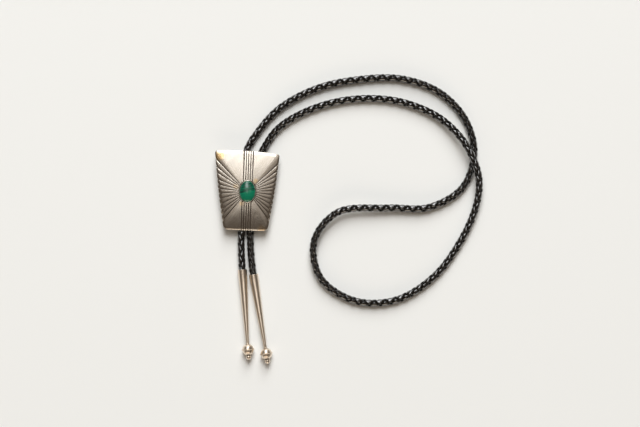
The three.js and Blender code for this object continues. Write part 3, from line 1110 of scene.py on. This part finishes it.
    def _field(self, side: Side, end: End, fan_end: np.ndarray, line_end: np.ndarray) -> np.ndarray:
        """The stations of the plain field between a fan and the engraved lines, round the corner.

        Args:
            side: which side.
            end: which end.
            fan_end: the fan's last station.
            line_end: the first station of the engraved lines.

        Returns:
            Rows as a fan's, in anticlockwise order.
        """
        groove = self.groove_angles[-1 if end is End.UPPER else 0]
        rising = np.linspace(0.0, 1.0, self.shoulder_parts + 1)[1:]
        angle = np.radians(groove + end.value * self.groove_shoulder * rising)
        angle = math.pi - angle if side is Side.LEFT else angle
        shoulder = self._side_point(side, angle)
        corner = self._corner_arc(side, end)
        straight = np.linspace(shoulder[-1], corner[0], self.straight_parts + 1)[1:-1]
        x = np.linspace(corner[-1, 0], line_end[2], self.end_parts + 1)[1:-1]
        outer = np.concatenate([shoulder, straight, corner, self._end_point(x, end)])
        chain = np.concatenate([fan_end[None, 2:4], outer, line_end[None, 2:4]])
        walked = np.cumsum(np.linalg.norm(np.diff(chain, axis=0), axis=1))
        share = (walked / walked[-1])[:-1]
        start = math.atan2(fan_end[1], fan_end[0])
        stop = math.atan2(line_end[1], line_end[0])
        if abs(stop - start) > math.pi:
            stop += math.copysign(TURN, start)
        inner = oval_point(self.bezel_half_width, self.bezel_half_height, start + share * (stop - start))
        rise = np.ones(len(outer))
        rise[:len(shoulder)] = 1 - (1 - rising) ** 2
        seen = np.arctan2(outer[:, 1], np.abs(outer[:, 0]))
        off_groove = np.abs(seen - math.radians(groove))
        far = np.full(len(outer), FAR)
        rows = np.column_stack([inner, outer, rise, 0 * far, off_groove, far, off_groove])
        return rows if (side is Side.RIGHT) == (end is End.UPPER) else rows[::-1]

    def _stations(self) -> np.ndarray:
        """All stations, anticlockwise from the lowest groove on the right."""
        right = self._fan(Side.RIGHT)
        left = self._fan(Side.LEFT)
        above = self._lines(End.UPPER)
        below = self._lines(End.LOWER)
        return np.concatenate([
            right, self._field(Side.RIGHT, End.UPPER, right[-1], above[0]),
            above, self._field(Side.LEFT, End.UPPER, left[0], above[-1]),
            left, self._field(Side.LEFT, End.LOWER, left[-1], below[0]),
            below, self._field(Side.RIGHT, End.LOWER, right[0], below[-1]),
        ])

    def _off_line(self, stations: np.ndarray, out: np.ndarray, column: int) -> np.ndarray:
        """How far points lie from a line out of the stone's middle: the distance from that middle
        times the angle to the line.

        Args:
            stations: the stations.
            out: how far out from the bezel each point is.
            column: the stations' column that holds the angle.

        Returns:
            One distance for each point.
        """
        from_middle = np.linalg.norm(stations[:, 0:2], axis=1) + out
        return from_middle * stations[:, column]

    def _skin(self, stations: np.ndarray, rows: np.ndarray, depth: float) -> np.ndarray:
        """One side of the sheet. Along each station it drops partly in proportion to its share of the
        reach and partly with the square of it, then bends down along a parabola and ends in an upright
        skirt. The share in proportion and the drop of the bend pass from their values below the stone
        to those above it as the station's direction turns upward. Every point is sunk square to that
        curve by the sheet's depth, the cuts, the flutes, the scallops that deepen them at the edge with
        a high power of the share, and the shallow valleys that fade out from the fans' borders.

        Args:
            stations: the stations.
            rows: the share done of the dome, the bend and the skirt for each row.
            depth: 0 for the face, the thickness for the back.

        Returns:
            Rows by stations by three.
        """
        dome, bend, skirt = (rows[:, k, None] for k in range(3))
        inner = stations[:, 0:2]
        way = stations[:, 2:4] - inner
        reach = np.linalg.norm(way, axis=1)[None, :]
        out = (reach - self.bend_width) * dome + self.bend_width * bend
        share = out / reach
        upward = (1 + unit(way)[:, 1]) / 2
        straight = self.straightness_below + (self.straightness_above - self.straightness_below) * upward
        drop = self.dome_drop * (straight * share + (1 - straight) * share**2)
        bend_drop = self.bend_drop_below + (self.bend_drop_above - self.bend_drop_below) * upward
        drop = drop + bend_drop * bend**2 + self.skirt_drop * skirt
        steepness = self.dome_drop * (straight + 2 * (1 - straight) * share) / reach
        slope = np.arctan(steepness + 2 * bend_drop * bend / self.bend_width)
        lean = slope + (math.pi / 2 - slope) * np.clip(skirt / self.edge_share, 0.0, 1.0)
        off_groove = self._off_line(stations, out, 6)
        off_border = self._off_line(stations, out, 8)
        width = self.groove_width_at_stone + (self.groove_width_at_edge - self.groove_width_at_stone) * share
        crown = self.crown_at_stone + (self.crown_at_edge - self.crown_at_stone) * share
        scallop = self.scallop_depth * share**self.scallop_deepening
        sunk = depth + self.groove_depth * np.exp(-((off_groove / width) ** 2))
        sunk = sunk + scallop * (1 - stations[:, 4] ** self.scallop_fullness)
        sunk = sunk + crown * (1 - stations[:, 4])
        sunk = sunk + self.valley_depth * np.exp(-off_border / self.valley_reach)
        if depth == 0:
            sunk = sunk + stations[:, 5] * self.line_depth
        place = inner + (out - sunk * np.sin(lean))[..., None] * unit(way)
        height = self.face_z - drop - sunk * np.cos(lean)
        return np.concatenate([place, height[..., None]], axis=-1)

    @staticmethod
    def _rows(dome_rows: int, bend_rows: int) -> np.ndarray:
        """The rows of one side of the sheet.

        Args:
            dome_rows: rows on the dome.
            bend_rows: rows on the bend.

        Returns:
            The shares done of the dome, the bend and the skirt for each row.
        """
        dome = np.linspace(0.0, 1.0, dome_rows)
        bend = np.linspace(0.0, 1.0, bend_rows + 1)[1:]
        skirt = np.array([0.03, 0.06, 0.1, 0.14, 0.2, 0.4, 0.7, 1.0])
        nothing = [np.zeros(dome_rows), np.zeros(dome_rows + bend_rows)]
        full = [np.ones(bend_rows + len(skirt)), np.ones(len(skirt))]
        return np.column_stack([
            np.concatenate([dome, full[0]]), np.concatenate([nothing[0], bend, full[1]]),
            np.concatenate([nothing[1], skirt]),
        ])

    def _worn(self, points: np.ndarray) -> np.ndarray:
        """Lowers points by the dents, each a bell curve, and by a faint waviness of the sheet, sines
        of the place in millimetres that are nothing round the stone.

        Args:
            points: the points.

        Returns:
            The lowered points.
        """
        x = points[..., 0] / MM
        y = points[..., 1] / MM
        from_stone = np.hypot(x * self.bezel_half_height / self.bezel_half_width, y)
        far = np.clip((from_stone - self.calm_reach) / self.calm_fade, 0.0, 1.0)
        waves = np.sin(0.55 * x + 1.3) * np.sin(0.43 * y + 0.4) + 0.6 * np.sin(0.9 * x - 0.7 * y)
        worn = points.copy()
        worn[..., 2] -= self.waviness * far * waves
        for dent_x, dent_y, radius, depth in self.dents:
            square = (points[..., 0] - dent_x) ** 2 + (points[..., 1] - dent_y) ** 2
            worn[..., 2] -= depth * np.exp(-square / radius**2)
        return worn

    def build_plate(self) -> bpy.types.Object:
        """Builds the plate, from the middle of its face over the rolled edge to the middle of its
        back.

        Returns:
            The plate's object.
        """
        stations = self._stations()
        face_rows = self._rows(dome_rows=30, bend_rows=14)
        face = self._skin(stations, face_rows, 0.0)
        back = self._skin(stations, self._rows(dome_rows=14, bend_rows=6), self.thickness)
        turn = np.linspace(0.0, math.pi, self.lip_parts + 1)[1:-1, None, None]
        share = (1 - np.cos(turn)) / 2
        bow = np.sin(turn) * np.array([0.0, 0.0, self.lip_bow])
        lip = face[-1] * (1 - share) + back[-1] * share - bow
        reach = np.linalg.norm(stations[:, 2:4] - stations[:, 0:2], axis=1)
        out = face_rows[:, 0, None] * (reach - self.bend_width) + face_rows[:, 1, None] * self.bend_width
        groove = np.exp(-((self._off_line(stations, out, 6) / self.groove_dark) ** 2))
        line = np.exp(-((stations[:, 7] / self.line_dark) ** 2))
        cut = np.maximum(groove, line)
        body = Body()
        rows = np.concatenate([face, lip, back[::-1]])
        lip_recess = np.tile(self.lip_dark * cut[-1], (len(lip), 1))
        recess = np.concatenate([cut, lip_recess, np.full(back.shape[:2], self.back_dark)])
        beside_bezel = np.exp(-np.arange(len(face)) / 0.8)[:, None]
        recess[:len(face)] = np.maximum(recess[:len(face)], beside_bezel)
        numbers = body.grid(self._worn(rows), recess)
        body.cap(numbers[0], (0.0, 0.0, self.face_z), 1.0)
        body.cap(numbers[-1], (0.0, 0.0, self.face_z - self.thickness), self.back_dark, flip=True)
        piece = body.build("slide_plate_sheet", self.silver.material())
        install(piece, "slide_silver", "slide_plate")
        return piece

    def _round_stone(self, profile: np.ndarray, columns: int = 192) -> np.ndarray:
        """Carries a profile round the bezel's oval: each point is off the oval square to it by the
        profile's first number and above the plate's face by its second.

        Args:
            profile: rows of distance off the oval and height.
            columns: steps round the oval.

        Returns:
            Rows by columns by three.
        """
        angle = np.arange(columns) * TURN / columns
        circle = np.stack([np.cos(angle), np.sin(angle)], axis=-1)
        oval = circle * (self.bezel_half_width, self.bezel_half_height)
        square = unit(circle * (self.bezel_half_height, self.bezel_half_width))
        place = oval[None] + profile[:, 0, None, None] * square[None]
        height = np.broadcast_to(self.face_z + profile[:, 1, None], place.shape[:2])
        return np.concatenate([place, height[..., None]], axis=-1)

    def build_bezel(self) -> bpy.types.Object:
        """Builds the bezel: a thin wall whose top is rubbed over the stone's edge.

        Returns:
            The bezel's object.
        """
        wall = self.bezel_wall
        rise = self.bezel_rise
        lap = self.bezel_lap
        turn = np.linspace(0.0, math.pi / 2, 9)
        outside = np.stack([-lap * (1 - np.cos(turn)), rise - lap + lap * np.sin(turn)], axis=-1)
        inside = np.stack([
            -wall - (lap - 0.1 * MM) * (1 - np.cos(turn)),
            rise - lap - 0.05 * MM + (lap - 0.25 * MM) * np.sin(turn),
        ], axis=-1)
        foot = np.array([[0.28 * MM, -0.6 * MM], [0.24 * MM, 0.0], [0.1 * MM, 0.08 * MM], [0.0, 0.25 * MM]])
        edge = [[-lap - 0.12 * MM, rise - 0.06 * MM]]
        bottom = [[-wall, -0.6 * MM]]
        profile = np.concatenate([foot, outside, edge, inside[::-1], bottom])
        recess = np.full(len(profile), self.wall_dark)
        recess[:len(self.foot_dark)] = self.foot_dark
        recess[-len(inside) - 1:] = self.inside_dark
        body = Body()
        body.grid(self._round_stone(profile)[::-1], recess[::-1, None], close_rows=True)
        piece = body.build("bezel", self.silver.material())
        install(piece, "slide_silver", "slide_plate")
        return piece

    def build_stone(self) -> bpy.types.Object:
        """Builds the stone: a straight side under a dome that is a quarter oval from every side.

        Returns:
            The stone's object.
        """
        half_width = self.bezel_half_width - self.bezel_wall - self.stone_gap
        half_height = self.bezel_half_height - self.bezel_wall - self.stone_gap
        base = self.face_z + self.stone_lift
        turn = np.linspace(0.0, math.pi / 2, 40)[1:]
        size = np.concatenate([np.sin(turn), [1.0, 0.97]])
        dome = base + self.stone_side + self.stone_dome * np.cos(turn)
        height = np.concatenate([dome, [base + 0.2 * MM, base]])
        angle = np.arange(128) * TURN / 128
        points = np.stack([
            size[:, None] * half_width * np.cos(angle), size[:, None] * half_height * np.sin(angle),
            np.broadcast_to(height[:, None], (len(size), len(angle))),
        ], axis=-1)
        body = Body()
        numbers = body.grid(points)
        body.cap(numbers[0], (0.0, 0.0, base + self.stone_side + self.stone_dome))
        body.cap(numbers[-1], (0.0, 0.0, base), flip=True)
        piece = body.build("stone_cabochon", self.stone_finish.material())
        install(piece, "stone_green", "stone")
        return piece


@dataclass
class BackClip:
    """The clip on the slide's back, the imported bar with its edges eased."""

    finish: SilverFinish
    ease: float = 0.25 * MM
    ease_steps: int = 3
    sharp_angle: float = 32.0

    def build(self) -> bpy.types.Object:
        """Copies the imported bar, merges its corners and rounds its edges.

        Returns:
            The clip's object.
        """
        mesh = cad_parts["back_clip"].data.copy()
        mesh.materials.clear()
        mesh.materials.append(self.finish.material())
        piece = bpy.data.objects.new("back_clip_eased", mesh)
        bpy.context.scene.collection.objects.link(piece)
        weld = piece.modifiers.new("weld", "WELD")
        weld.merge_threshold = 0.001 * MM
        bevel = piece.modifiers.new("ease", "BEVEL")
        bevel.width = self.ease
        bevel.segments = self.ease_steps
        bevel.limit_method = "ANGLE"
        bevel.angle_limit = math.radians(self.sharp_angle)
        bevel.harden_normals = True
        mesh.shade_smooth()
        install(piece, "clip_silver", "back_clip")
        return piece


@dataclass(frozen=True)
class Panel:
    """A soft oblong light. Its tilts from straight overhead, right and up the slide, and its distance
    place it over the point that it is aimed at. It may show in reflections only, or light matt
    surfaces only. The spin turns it about its own middle. Angles are in degrees."""

    name: str
    tilt_right: float
    tilt_up: float
    size: Tuple[float, float]
    radiance: float
    tone: Colour
    reflected: bool = True
    scattered: bool = True
    distance: float = 3.0
    aim: Tuple[float, float, float] = (0.0, 0.0, 0.0)
    spin: float = 0.0

    def build(self) -> None:
        """Adds the light, turned to the point that it aims at."""
        lamp = bpy.data.lights.new(self.name, "AREA")
        lamp.shape = "RECTANGLE"
        lamp.size, lamp.size_y = self.size
        lamp.energy = self.radiance * math.pi * self.size[0] * self.size[1]
        lamp.color = self.tone
        light = bpy.data.objects.new(self.name, lamp)
        light.visible_glossy = self.reflected
        light.visible_diffuse = self.scattered
        light.visible_camera = False
        bpy.context.scene.collection.objects.link(light)
        way = unit(np.array([
            math.tan(math.radians(self.tilt_right)), math.tan(math.radians(self.tilt_up)), 1.0,
        ]))
        light.location = np.array(self.aim) + way * self.distance
        heading = math.atan2(way[0], -way[1]) if self.tilt_right or self.tilt_up else 0.0
        light.rotation_euler = (math.acos(way[2]), 0.0, heading + math.radians(self.spin))


@dataclass
class Studio:
    """Pale floor, a dim warm room and the camera straight above the tie. A tall light beyond the
    slide's top edge shows in its upper fields, and a large one farther off lights the floor alone.
    A high window gives the balls and the leather their light spots, a strip overhead the small
    triangle below the stone, and one small strip over each tip its long streak. A weak glow from
    above and a warm low fill from below soften the dark sides."""

    view_x: float = 52.4 * MM
    view_y: float = -13.8 * MM
    view_width: float = 460.8 * MM
    view_turn: float = 2.1
    camera_height: float = 1.5
    sensor: float = 36.0
    floor_half: float = 4.0
    room_tone: Colour = (0.088, 0.07, 0.055)
    panels: Tuple[Panel, ...] = (
        Panel("key_light", -11.0, 35.5, (1.0, 2.35), 3.9, (0.965, 0.985, 1.0)),
        Panel("key_spill", 5.0, 50.0, (4.0, 7.2), 10.25, (0.97, 0.985, 1.0), reflected=False, distance=9.0),
        Panel("high_window", -6.0, 70.0, (1.6, 0.9), 5.6, (0.98, 0.99, 1.0), scattered=False),
        Panel("overhead_strip", -4.0, 0.5, (0.75, 0.26), 1.7, (1.0, 0.97, 0.92), scattered=False),
        Panel(
            "left_tip_strip", 0.0, 0.0, (7.0 * MM, 50.0 * MM), 1.05, (1.0, 0.97, 0.92), scattered=False,
            distance=28.0 * MM, aim=(1.2 * MM, -84.5 * MM, 5.0 * MM), spin=6.2,
        ),
        Panel(
            "right_tip_strip", 0.0, 0.0, (7.0 * MM, 50.0 * MM), 1.05, (1.0, 0.97, 0.92), scattered=False,
            distance=28.0 * MM, aim=(11.8 * MM, -87.0 * MM, 5.0 * MM), spin=11.3,
        ),
        Panel("upper_glow", 0.0, 17.0, (3.0, 2.2), 0.42, (1.0, 0.93, 0.85)),
        Panel("low_fill", 0.0, -66.0, (3.0, 1.2), 1.9, (1.0, 0.87, 0.72)),
    )

    def build(self) -> None:
        """Builds the floor, the lights, the surrounding room's tone and the camera."""
        half = self.floor_half
        body = Body()
        corners = np.array([
            [[-half, half, 0.0], [half, half, 0.0]],
            [[-half, -half, 0.0], [half, -half, 0.0]],
        ])
        body.grid(corners, close_columns=False)
        floor = body.build("floor", FloorFinish("pale_paper").material())
        for panel in self.panels:
            panel.build()
        bpy.context.scene.view_settings.view_transform = "Standard"
        world = bpy.data.worlds.new("room")
        bpy.context.scene.world = world
        world.use_nodes = True
        background = world.node_tree.nodes["Background"]
        background.inputs[0].default_value = (*self.room_tone, 1.0)
        background.inputs[1].default_value = 1.0
        lens = bpy.data.cameras.new("camera")
        lens.sensor_width = self.sensor
        lens.lens = self.sensor * self.camera_height / self.view_width
        camera = bpy.data.objects.new("camera", lens)
        bpy.context.scene.collection.objects.link(camera)
        camera.location = (self.view_x, self.view_y, self.camera_height)
        camera.rotation_euler = (0.0, 0.0, math.radians(self.view_turn))
        bpy.context.scene.camera = camera
        log.info("studio ready")


def main() -> None:
    """Builds the studio, cord, slide, clip and tips in order."""
    logging.basicConfig(level=logging.INFO, format="%(name)s: %(message)s")
    Studio().build()
    Cord(LeatherFinish("black_leather")).build()
    slide_silver = SilverFinish("slide_silver", stains=(
        (-21.0 * MM, 25.0 * MM, 4.6 * MM, 1.0), (5.6 * MM, 7.6 * MM, 2.6 * MM, 0.6),
        (-8.3 * MM, 3.4 * MM, 3.0 * MM, 0.5), (-3.8 * MM, -8.8 * MM, 2.4 * MM, 0.6),
        (11.0 * MM, -26.6 * MM, 4.0 * MM, 0.5),
    ))
    slide = Slide(slide_silver, StoneFinish("green_stone"))
    slide.build_plate()
    slide.build_bezel()
    slide.build_stone()
    BackClip(SilverFinish("clip_silver", tone=(0.8, 0.76, 0.7), roughness=0.34)).build()
    for place in (LEFT_TIP, RIGHT_TIP):
        finish = SilverFinish(
            place.name + "_silver", tone=(0.86, 0.755, 0.64), roughness=0.36, turn=place.turn,
            turned_depth=0.02 * MM,
        )
        Tip(place, finish).build()


if __name__ == "__main__":
    main()
